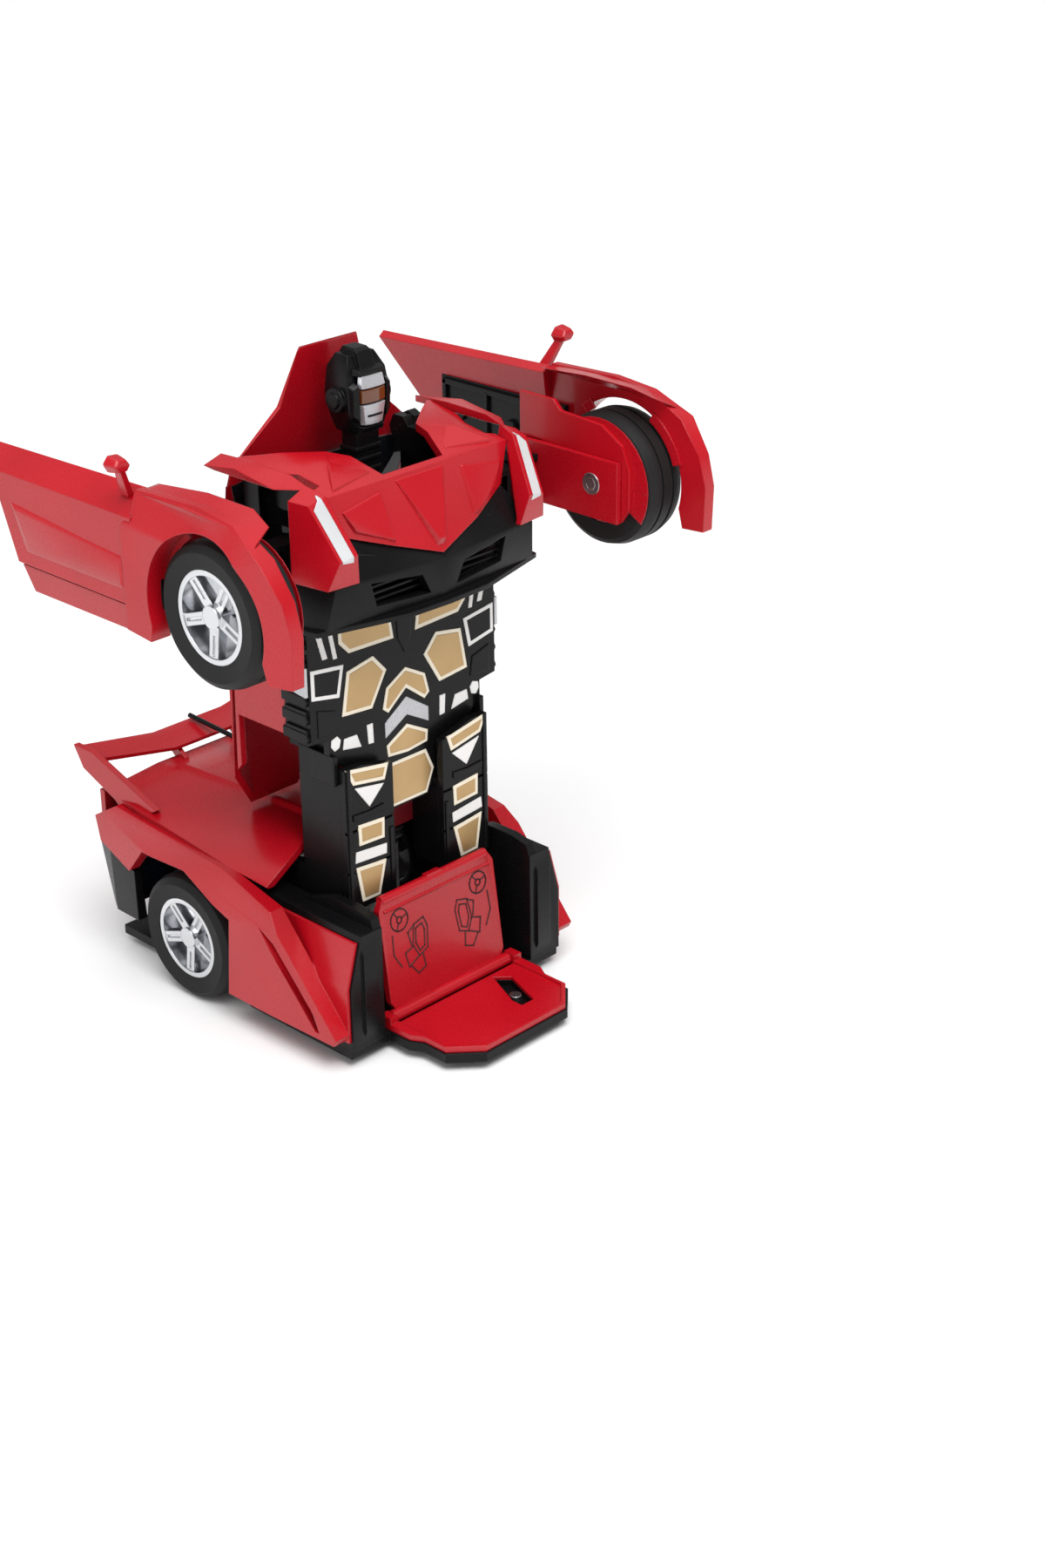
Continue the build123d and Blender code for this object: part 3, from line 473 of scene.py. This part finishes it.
def helmet_blocks():
    cheek = [(17.0, 5.0, 178.2), (17.0, 7.4, 179.8), (19.0, 5.0, 179.2), (18.5, 6.8, 180.8), (17.0, 5.2, 190.4),
             (17.0, 7.5, 189.4), (19.2, 5.1, 189.4), (18.7, 6.9, 188.4)]
    blocks = [
        twin([(17.6, 5.4, 177.4), (16.5, 5.2, 175.2), (9.0, 5.2, 175.2), (7.4, 5.8, 179.0), (17.2, 7.6, 181.0),
              (17.2, 7.9, 187.0), (16.6, 7.2, 192.4), (14.6, 5.0, 197.0), (9.6, 5.0, 197.2), (6.8, 5.8, 193.4),
              (6.3, 6.6, 186.0), (8.6, 7.9, 186.0)]),
        cheek, on_side(-1, cheek),
        twin([(16.6, 4.4, 175.3), (18.6, 3.8, 175.6), (19.3, 3.6, 177.3), (16.6, 5.0, 177.6)]),
        twin([(16.6, 5.4, 191.8), (18.9, 4.6, 191.8), (19.0, 4.4, 193.0), (16.2, 5.2, 193.8)]),
        twin([(17.4, 2.8, 193.4), (15.8, 2.6, 197.8), (14.6, 2.4, 198.6), (9.8, 2.4, 198.7), (7.2, 2.6, 195.2)]),
        twin([(10.2, 4.3, 139.4), (16.3, 4.3, 139.4), (10.2, 4.3, 178), (16.3, 4.3, 178)]),
    ]
    for side in (-1, 1):
        for radius, inner, outer in ((3.6, 7.2, 9.2), (2.2, 9.0, 9.8)):
            low, high = sorted((side * inner, side * outer))
            blocks.append(disc((EAR_X, 0, EAR_Z), "y", radius, low, high))
    for z in NECK_RING_Z:
        top = z + NECK_RING_HEIGHT
        blocks.append(twin([(9.7, 4.8, z), (16.6, 4.8, z), (9.7, 4.8, top), (16.6, 4.8, top)]))
    return blocks


def head_pieces():
    helmet = helmet_blocks()
    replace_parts(solid("helmet", "head", "black_plastic", helmet, bevel=0.25), "head_shell")
    mask = [
        twin([(17.8, 4.6, 183.7), (19.6, 4.0, 183.7), (20.1, 1.6, 183.7), (17.8, 3.9, 177.8), (19.0, 3.2, 177.8),
              (19.6, 1.4, 177.8)]),
        twin([(17.8, 4.8, 188.3), (19.6, 4.2, 188.3), (20.0, 1.6, 188.3), (17.8, 4.4, 191.7), (18.9, 3.8, 191.7),
              (19.3, 1.4, 191.7)]),
    ]
    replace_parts(solid("mask", "head", "silver_foil", mask, bevel=0.2), "face_plate")
    groove = [twin([(19.2, 2.7, GROOVE_LOW), (19.7, 2.7, GROOVE_LOW), (20.0, 1.5, GROOVE_LOW),
                    (19.2, 2.7, GROOVE_HIGH), (19.7, 2.7, GROOVE_HIGH), (20.02, 1.5, GROOVE_HIGH)])]
    solid("mask_groove", "head", "black_print", groove, bevel=0)
    visor = [twin([(x, y, z) for x, y in ((17.8, 4.7), (19.3, 4.3), (19.9, 1.4)) for z in (VISOR_LOW, VISOR_HIGH)])]
    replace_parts(solid("visor", "head", "eye_lens", visor, bevel=0.2), "eye_lens")


# Seat back and tray

SEAT_FACE = 8.2
DRAWN_WHEEL_Y, DRAWN_WHEEL_X = 16.2, 92.0
DRAWN_RIM, DRAWN_HUB, SPOKE_END = 3.4, 1.0, 3.3
SPOKE_ANGLES = (0.3, 2.2, 4.3)
LINE, THIN_LINE, LOOP_LINE = 0.45, 0.4, 0.42
SEAT_LINES = [[(19.6, 88.0), (20.0, 82.0), (17.6, 77.6)],
              [(12.0, 82.2), (15.6, 81.0), (14.6, 76.4), (10.4, 78.4)],
              [(11.0, 88.4), (13.6, 87.0), (12.8, 82.8)],
              [(8.8, 78.4), (8.2, 74.4), (11.4, 73.2), (13.8, 76.4)]]
SEAT_LOOPS = [[(11.0, 88.6), (7.0, 89.6), (5.8, 86.6), (6.6, 79.8), (10.2, 78.4), (12.2, 82.4)],
              [(10.4, 87.2), (7.8, 87.9), (7.1, 85.8), (7.7, 80.8), (9.8, 79.9), (11.0, 82.8)]]


def on_seat(u, v, h):
    """Places (y, x, height) on the seat's face, drawn folded, to a point in the robot's pose."""
    return tuple(to_scene("seat") @ Vector((v, u, SEAT_FACE - h)) / MM)


def drawn_wheel(u, v):
    """Bars of a small wheel: a rim, a hub and three spokes."""
    bars = stroke(round_path(u, v, DRAWN_RIM), LINE, True) + stroke(round_path(u, v, DRAWN_HUB, 10), THIN_LINE, True)
    for angle in SPOKE_ANGLES:
        bars += stroke([(u + DRAWN_HUB * math.cos(angle), v + DRAWN_HUB * math.sin(angle)),
                        (u + SPOKE_END * math.cos(angle), v + SPOKE_END * math.sin(angle))], THIN_LINE)
    return bars


def seat_pieces():
    """Line drawings of two wheels and two seats, and a rounded top rail."""
    bars = []
    for side in (-1, 1):
        bars += drawn_wheel(side * DRAWN_WHEEL_Y, DRAWN_WHEEL_X)
        for line in SEAT_LINES:
            bars += stroke([(side * u, v) for u, v in line], LINE)
        for loop in SEAT_LOOPS:
            bars += stroke([(side * u, v) for u, v in loop], LOOP_LINE, True)
    slabs("seat_drawings", "seat", "dark_line", [(turned(bar), -0.1, 0.12, on_seat) for bar in bars])
    solid("seat_rail", "seat", "red_plastic", [
        twin([(98.6, 3.0, 8.4), (98.6, 3.0, 11.0), (101.3, 3.0, 8.6), (101.3, 3.0, 10.8)]),
        twin([(95.8, 21.6, 8.0), (96.4, 21.6, 7.7), (95.8, 21.6, 8.3), (96.9, 21.6, 8.3)]),
    ], drawn="seat", bevel=0.3)


def tray_pieces():
    """A black plate as painted shade at the bottom of the tray's slot, the slot's peg, and the roll along the seat's
    hinge.
    """
    slot = [(67.2, 14), (71.8, 18.8), (87, 13.6), (87, 7.2), (81.6, 7.2)]
    # A black plate under the slot: painted shade for the slot's dark inside, not a real floor.
    solid("slot_shade_plate", "base", "black_plastic", [[(x, y, z) for x, y in slot for z in (3.3, 4.1)]],
          drawn="base", bevel=0)
    solid("slot_peg", "base", "steel", [disc((79, 12.4, 0), "z", 1.9, 4.0, 6.2, 24)], drawn="base",
          bevel=0.2)
    x, z = SEAT_HINGE
    solid("seat_roll", "seat", "red_plastic", [disc((x, 0, z), "y", 2.0, -24.2, 24.2, 40)],
          drawn="base", bevel=0.2)


# Mouldings on the chest and arms

def lifted(points, normal, low, high, spread):
    """A raised flat: the outline at two heights along a normal, the upper one drawn in a little."""
    n = Vector(normal).normalized()
    middle = sum((Vector(p) for p in points), Vector()) / len(points)
    base = [tuple(Vector(p) + n * low) for p in points]
    top = [tuple(Vector(p) + n * high + (middle - Vector(p)).normalized() * spread) for p in points]
    return base + top


def chest_pieces():
    """Raised flats on the hood, and a bar across each grille opening."""
    shield = [(174.7, 10.2, 38.0), (174.7, -10.2, 38.0), (184.9, -1.4, 18.2), (184.9, 1.4, 18.2)]
    panels = [lifted(shield, (0.888, 0, 0.462), -0.6, 1.7, 1.9)]
    for side in (-1, 1):
        shoulder = [(158.5, 18.6, 42.9), (172.6, 13.4, 39.2), (175.2, 31.0, 38.4), (165.6, 24.6, 43.0)]
        flank = [(176.4, 14.4, 36.6), (183.2, 14.8, 22.6), (179.2, 27.6, 27.2), (177.2, 31.0, 34.2)]
        panels.append(lifted(on_side(side, shoulder), (0.3, 0, 0.95), -0.9, 0.9, 1.2))
        panels.append(lifted(on_side(side, flank), (0.93, side * 0.2, 0.3), -1.0, 0.9, 1.4))
    solid("hood_creases", "chest", "red_plastic", panels, drawn="chest", bevel=0.3)
    bars = []
    for side in (-1, 1):
        wedge = [(182.4, 2.5, 15.6), (178.2, 27.5, 22.4), (177.6, 28.6, 20.6), (182.6, 3.4, 13.9)]
        bars.append([(x + dx, side * y, z) for x, y, z in wedge for dx in (0.9, 2.4)])
    solid("grille_bars", "chest", "black_plastic", bars, drawn="chest", bevel=0.25)


def arc_blocks(side, first, last, count, radii, depths):
    """Blocks around the front wheel's centre from one angle to another, between two radii and two depths."""
    blocks = []
    for step in range(count):
        around = [math.radians(first + (last - first) * (step + k) / count) for k in (0, 1)]
        blocks.append(on_side(side, [(FRONT_WHEEL_X + r * math.cos(a), y, FRONT_WHEEL_Z + r * math.sin(a))
                                     for a in around for r in radii for y in depths]))
    return blocks


def door_inside(side):
    """Frame bars and two bosses inside the door."""
    blocks = []
    for (x0, x1), (z0, z1) in (((77, 117), (33.4, 35.2)), ((77, 117), (14.8, 16.4)), ((77, 78.6), (15, 35)),
                               ((115.6, 117.4), (15, 35)), ((95.4, 96.6), (16, 34))):
        blocks.append(on_side(side, [(x, y, z) for x in (x0, x1) for y in (40.9, 42.2) for z in (z0, z1)]))
    for x in (84, 106):
        blocks.append(on_side(side, disc((x, 40.6, 25), "y", 2.4, 0, 1.6, 20)))
    return blocks


MIRROR_CAP = [(117.2, 48.4, 52.6), (117.0, 47.2, 54.6), (117.4, 48.8, 57.0), (117.4, 52.4, 57.3), (117.2, 54.0, 55.2),
              (117.4, 52.6, 52.6), (121.8, 48.8, 53.0), (122.2, 48.0, 54.6), (121.8, 49.2, 56.4), (121.8, 52.0, 56.6),
              (122.2, 53.2, 55.0), (121.8, 52.2, 53.2)]
MIRROR_STALK = [(114, 44.5, 44.6), (118, 44.5, 44.6), (114, 46.5, 44.2), (118, 46.5, 44.2), (118, 49, 53.6),
                (120.6, 49, 53.6), (118, 50.8, 53.6), (120.6, 50.8, 53.6)]
DOOR_SWAGE = [(68, 49.5, 33.0), (117.6, 49.7, 29.4), (117.6, 49.8, 19.6), (74.5, 49.8, 19.4),
              (71, 50.35, 31.2), (116.8, 50.35, 28.2), (116.8, 50.4, 21.0), (77, 50.4, 20.8)]
COVER_CORNERS = ((120.2, 9.62), (120.2, 28.08), (160.08, 28.08), (160.08, 9.62))
COVER_DEPTHS = (29.84, 31.6)
FACE_DEPTHS = (33.12, 33.34)
LINING_DEPTHS = (43.3, 43.95)


def arm_pieces(name, side):
    """What an arm carries: the door's inside, covers behind and over its wheel, the mirror, the nut and the swage."""
    body = "arm_" + name
    solid("door_inside_" + name, body, "black_plastic", door_inside(side), drawn=body, bevel=0.2)
    cover = on_side(side, [(x, y, z) for x, z in COVER_CORNERS for y in COVER_DEPTHS])
    solid("wheel_cover_" + name, body, "red_plastic", [cover], drawn=body, bevel=0)
    lining = [block for first, last in ((18, 60), (122, 202))
              for block in arc_blocks(side, first, last, 8, (20.7, 23.8), LINING_DEPTHS)]
    solid("arch_lining_" + name, body, "red_plastic", lining, drawn=body, bevel=0)
    face = arc_blocks(side, -30, 210, 24, (10, 19.2), FACE_DEPTHS)
    solid("wheel_face_" + name, body, "red_plastic", face, drawn=body, bevel=0)
    mirror = [on_side(side, MIRROR_CAP), on_side(side, MIRROR_STALK)]
    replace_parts(solid("mirror_shape_" + name, body, "red_plastic", mirror,
                      drawn=body, bevel=0.8), "mirror_" + name)
    nut = [on_side(side, disc((FRONT_WHEEL_X, y, FRONT_WHEEL_Z), "y", radius, 0, 0.4, sides))
           for y, radius, sides in ((29.62, 3.3, 32), (29.54, 1.9, 6))]
    solid("wheel_nut_" + name, body, "steel", nut, drawn=body, bevel=0.15)
    solid("door_swage_" + name, body, "red_plastic", [on_side(side, DOOR_SWAGE)], drawn=body,
          bevel=0.3)


SIDE_PLATE = [(18.6, 110.6), (28.4, 109.4), (28.4, 118.4), (18.6, 116.6)]
SIDE_PLATE_FACE = 37.3
LEG_BRIDGE = [(-11, 52), (11, 52), (11, 60), (-11, 60)]
LEG_BRIDGE_FACE = 18.2


def torso_extras():
    """Silver side plates, hip caps, and the bridge seen between the legs, its red darkened as painted shade."""
    plates = [(SIDE_PLATE, -0.5, 0.6, side_of(side, SIDE_PLATE_FACE)) for side in (-1, 1)]
    slabs("torso_side_plates", "torso", "silver_foil", plates, bevel=0.2)
    caps = [[(x, side * y, z) for x in (19, 30) for y in (28.4, 30.1) for z in (80, 89.4)] for side in (-1, 1)]
    solid("hip_caps", "torso", "black_plastic", caps, bevel=0.3)
    # The bridge wears a darker red as painted shade for the recess between the legs.
    bridge = [(LEG_BRIDGE, 0, 0.8, front_of(LEG_BRIDGE_FACE))]
    slabs("leg_bridge", "torso", "painted_shade_red", bridge, bevel=0.2)


prints()
armour()
side_ribs()
head_pieces()
seat_pieces()
tray_pieces()
chest_pieces()
arm_pieces("left", 1)
arm_pieces("right", -1)
torso_extras()


# The stage, in metres

FLOOR_HALF = 8.0
CAMERA_SPOT = (0.5203, -0.4585, 0.3889)
CAMERA_YAW, CAMERA_PITCH, CAMERA_ROLL = math.radians(134.17), math.radians(-25.41), 0.0105
CAMERA_LENS, CAMERA_SENSOR = 58.311, 36.0  # mm
LAMP_AIM = (0, 0, 0.1)
SKY_STEPS = ((0.0, 0.85), (0.08, 0.80), (0.26, 0.26), (0.55, 0.30), (0.74, 0.85), (1.0, 1.0))
SKY_SUN_POWER, SKY_SUN_ANGLE = 2.3, math.radians(40)
SKY_SUN_TURN = (math.radians(14), math.radians(18), 0)


def stage():
    floor = bpy.data.meshes.new("floor")
    corners = [(x * FLOOR_HALF, y * FLOOR_HALF, 0) for x, y in ((-1, -1), (1, -1), (1, 1), (-1, 1))]
    floor.from_pydata(corners, [], [(0, 1, 2, 3)])
    made = bpy.data.objects.new("floor", floor)
    floor.materials.append(finish_of("floor_paper", (0.80, 0.80, 0.80), (0.83, 0.83, 0.83), (0.5, 0.6), patch=3,
                                     grain=200, bump=0.01, edge=0.0001))
    bpy.context.scene.collection.objects.link(made)


def lamp(name, spot, size, power):
    """A white area lamp aimed at the robot's middle."""
    data = bpy.data.lights.new(name, "AREA")
    data.shape, data.size, data.size_y = "RECTANGLE", size[0], size[1]
    data.energy = power
    made = bpy.data.objects.new(name, data)
    made.location = spot
    made.rotation_mode = "QUATERNION"
    made.rotation_quaternion = (Vector(LAMP_AIM) - Vector(spot)).to_track_quat("-Z", "Y")
    bpy.context.scene.collection.objects.link(made)


def camera():
    """The photograph's viewpoint, for a frame of 1200 by 1800, which is not set here."""
    data = bpy.data.cameras.new("camera")
    data.sensor_width, data.sensor_fit = CAMERA_SENSOR, "AUTO"
    data.lens = CAMERA_LENS
    data.clip_start, data.clip_end = 0.01, 20.0
    made = bpy.data.objects.new("camera", data)
    yaw, pitch, roll = CAMERA_YAW, CAMERA_PITCH, CAMERA_ROLL
    ahead = Vector((math.cos(pitch) * math.cos(yaw), math.cos(pitch) * math.sin(yaw), math.sin(pitch)))
    right = ahead.cross(Vector((0, 0, 1))).normalized()
    down = ahead.cross(right)
    rolled = math.cos(roll) * right + math.sin(roll) * down
    up = rolled.cross(ahead)
    made.matrix_world = Matrix.Translation(CAMERA_SPOT) @ Matrix((rolled, up, -ahead)).transposed().to_4x4()
    bpy.context.scene.collection.objects.link(made)
    bpy.context.scene.camera = made


def light():
    """A sky bright above and below and dark at the horizon, a broad sun and two area lamps."""
    world = bpy.data.worlds.new("world")
    world.use_nodes = True
    tree = world.node_tree
    coords, parts = node(tree, "ShaderNodeTexCoord"), node(tree, "ShaderNodeSeparateXYZ")
    ramp = node(tree, "ShaderNodeValToRGB")
    while len(ramp.color_ramp.elements) < len(SKY_STEPS):
        ramp.color_ramp.elements.new(0.5)
    for element, (place, level) in zip(ramp.color_ramp.elements, SKY_STEPS):
        element.position, element.color = place, (level, level, level, 1)
    tree.links.new(coords.outputs["Generated"], parts.inputs["Vector"])
    tree.links.new(parts.outputs["Z"], ramp.inputs["Fac"])
    tree.links.new(ramp.outputs["Color"], tree.nodes["Background"].inputs["Color"])
    tree.nodes["Background"].inputs["Strength"].default_value = 1.0
    bpy.context.scene.world = world
    sun = bpy.data.lights.new("sky", "SUN")
    sun.energy, sun.angle = SKY_SUN_POWER, SKY_SUN_ANGLE
    made = bpy.data.objects.new("sky", sun)
    made.rotation_euler = SKY_SUN_TURN
    bpy.context.scene.collection.objects.link(made)
    lamp("key", (0.55, -0.2, 0.75), (0.35, 0.35), 2.2)
    lamp("side", (0.1, -0.8, 0.35), (0.3, 0.5), 1.2)
    bpy.context.scene.view_settings.view_transform = "Standard"


stage()
light()
camera()
